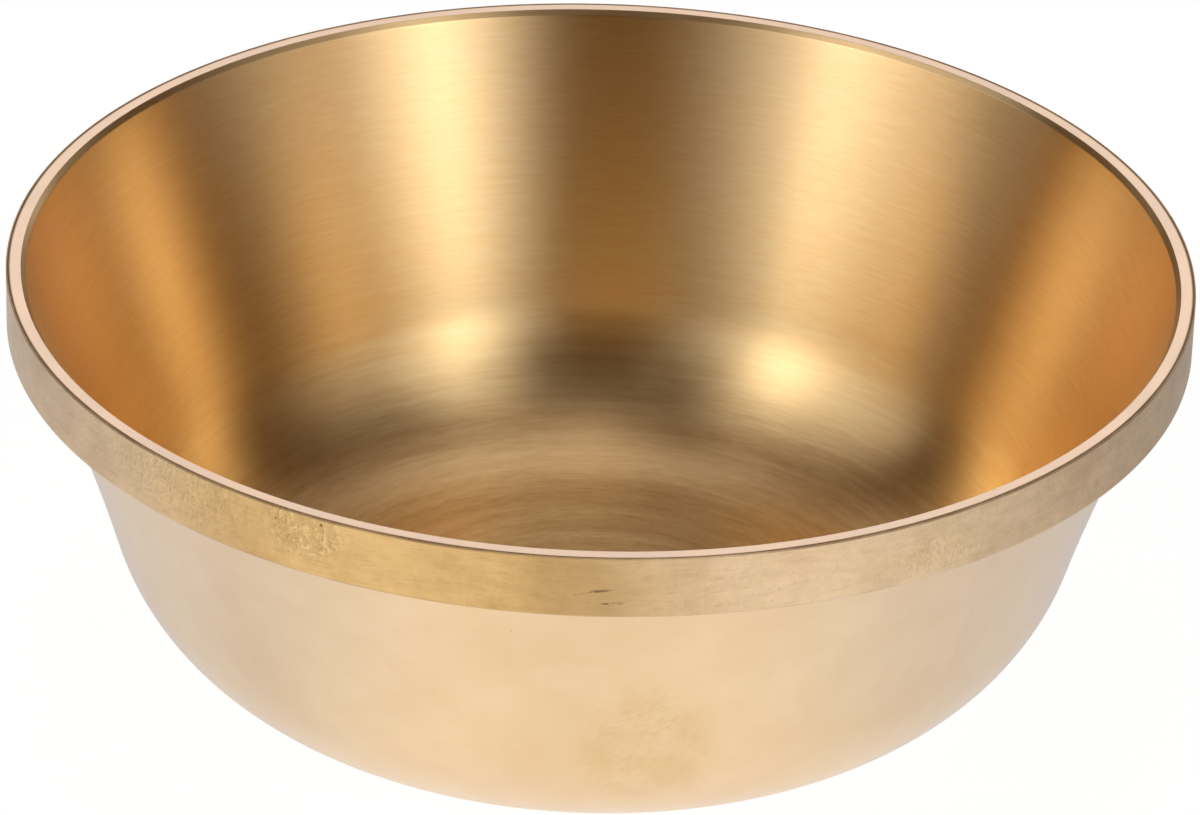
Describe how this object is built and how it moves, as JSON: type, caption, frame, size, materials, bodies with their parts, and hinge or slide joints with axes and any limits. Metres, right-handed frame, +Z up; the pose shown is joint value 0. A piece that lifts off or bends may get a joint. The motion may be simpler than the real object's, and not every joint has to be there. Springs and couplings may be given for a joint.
{
  "type": "offering bowl",
  "caption": "Small brass offering bowl with a flat base, round corner, flaring wall and a plain upright band soldered round the mouth.",
  "frame": {"origin": "centre of the flat base, on the face it rests on", "axes": "+Z up along the bowl's axis; +X to the right and +Y away from the viewer in the pictured view"},
  "size_m": [0.08, 0.08, 0.0293],
  "materials": {
    "shell_brass": "satin, fine lathe brushing round the axis",
    "band_brass": "dull, lightly pitted and scratched",
    "solder": "dull, darkened solder"
  },
  "bodies": {
    "root": {"bowl_shell": "shell_brass", "rim_band": "band_brass", "solder_seam": "solder"}
  },
  "joints": []
}
